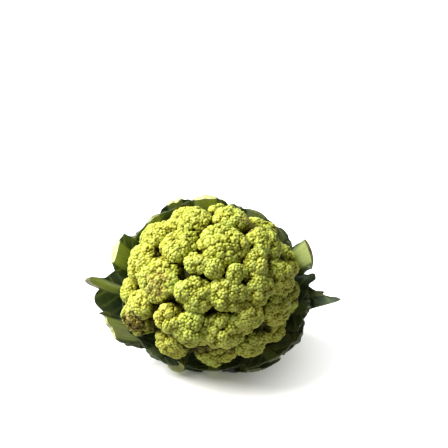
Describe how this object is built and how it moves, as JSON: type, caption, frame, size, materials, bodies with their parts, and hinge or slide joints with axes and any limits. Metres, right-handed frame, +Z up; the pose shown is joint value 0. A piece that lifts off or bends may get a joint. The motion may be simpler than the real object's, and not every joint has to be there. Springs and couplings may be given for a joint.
{
  "type": "cauliflower",
  "caption": "Fresh green cauliflower head: rounded yellow-green curd of florets on a short cut stem, ringed by trimmed dark leaves with pale ribs, lying on its side.",
  "frame": {"origin": "middle of the cauliflower's bounding box, on the table it rests on", "axes": "+Z up, -Y towards the side that the curd faces, +X to the right as seen from in front"},
  "size_m": [0.2308, 0.155, 0.1502],
  "materials": {
    "curd": "matte, finely granular",
    "leaf": "waxy, matte",
    "stem": "waxy, with a moist cut face"
  },
  "bodies": {
    "root": {"curd": "curd", "inner_leaf_1": "leaf", "inner_leaf_10": "leaf", "inner_leaf_2": "leaf", "inner_leaf_3": "leaf", "inner_leaf_4": "leaf", "inner_leaf_5": "leaf", "inner_leaf_6": "leaf", "inner_leaf_7": "leaf", "inner_leaf_8": "leaf", "inner_leaf_9": "leaf", "outer_leaf_1": "leaf", "outer_leaf_10": "leaf", "outer_leaf_2": "leaf", "outer_leaf_3": "leaf", "outer_leaf_4": "leaf", "outer_leaf_5": "leaf", "outer_leaf_6": "leaf", "outer_leaf_7": "leaf", "outer_leaf_8": "leaf", "outer_leaf_9": "leaf", "stem": "stem"}
  },
  "joints": []
}
